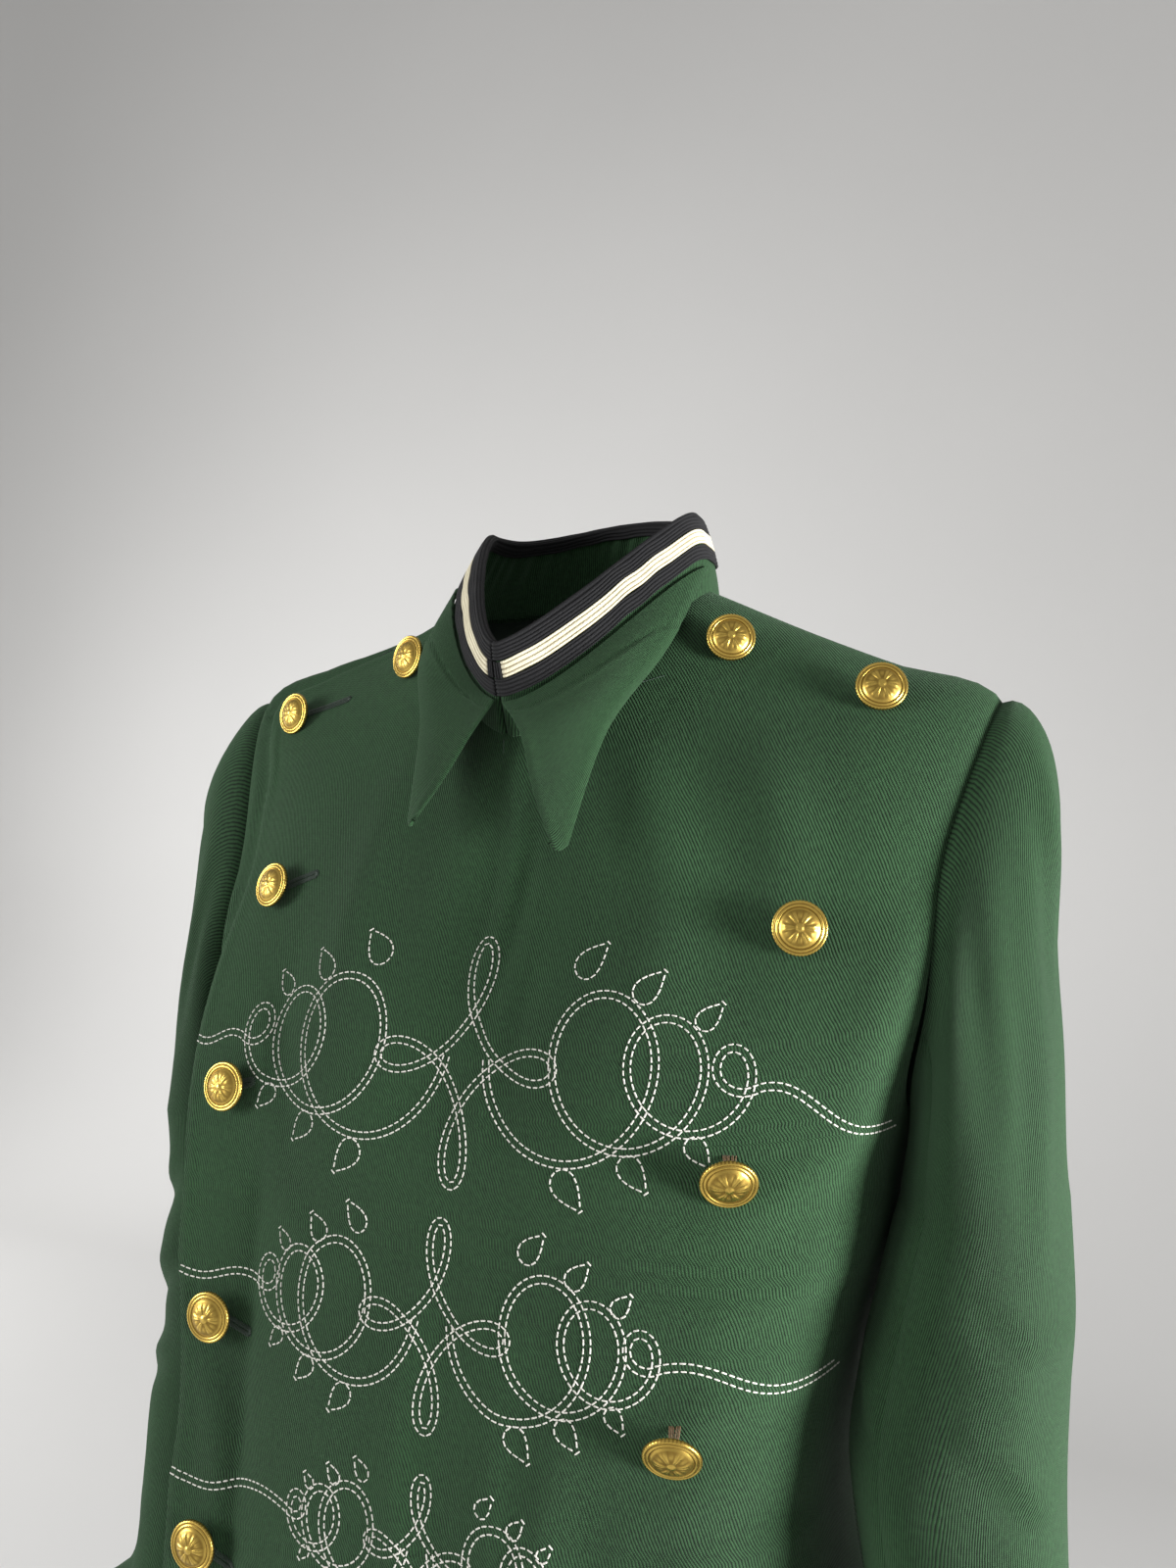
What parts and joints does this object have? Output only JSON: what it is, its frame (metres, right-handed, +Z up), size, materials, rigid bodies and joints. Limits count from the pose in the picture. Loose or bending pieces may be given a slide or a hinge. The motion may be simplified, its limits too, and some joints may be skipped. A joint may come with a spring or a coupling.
{
  "type": "napoleon jacket",
  "caption": "Hollow worn military-style jacket with a lapped double-breasted front, braid-edged stand collar, long pointed collar flaps, long sleeves and domed metal buttons.",
  "frame": {"origin": "the middle of the neck, level with the points where the shoulder seams meet the collar, where the wearer's neck and shoulders hold the jacket", "axes": "+Z up, -Y out of the wearer's chest, +X to the wearer's left"},
  "size_m": [0.5185, 0.2334, 0.6958],
  "materials": {
    "wool": "dark green twill wool, matt with a soft sheen",
    "black_braid": "ribbed black braid",
    "ivory_braid": "ribbed ivory braid",
    "brass": "polished brass with dark recesses"
  },
  "bodies": {
    "root": {"front_left": "wool", "front_right": "wool", "back": "wool", "sleeve_head_left": "wool", "sleeve_head_right": "wool", "sleeve_top_left": "wool", "sleeve_top_right": "wool", "sleeve_forearm_right": "wool", "sleeve_under_left": "wool", "sleeve_under_right": "wool", "collar_stand": "wool", "collar_flap_left": "wool", "collar_flap_right": "wool", "braid_black_upper": "black_braid", "braid_black_lower": "black_braid", "braid_end_left": "black_braid", "braid_end_right": "black_braid", "braid_ivory": "ivory_braid", "button_shoulder_inner_left": "brass", "button_shoulder_inner_right": "brass", "button_shoulder_outer_left": "brass", "button_shoulder_outer_right": "brass", "button_chest_1_left": "brass", "button_chest_1_right": "brass", "button_chest_2_left": "brass", "button_chest_2_right": "brass", "button_chest_3_left": "brass", "button_chest_3_right": "brass", "button_chest_4_left": "brass", "button_chest_4_right": "brass"}
  },
  "joints": []
}
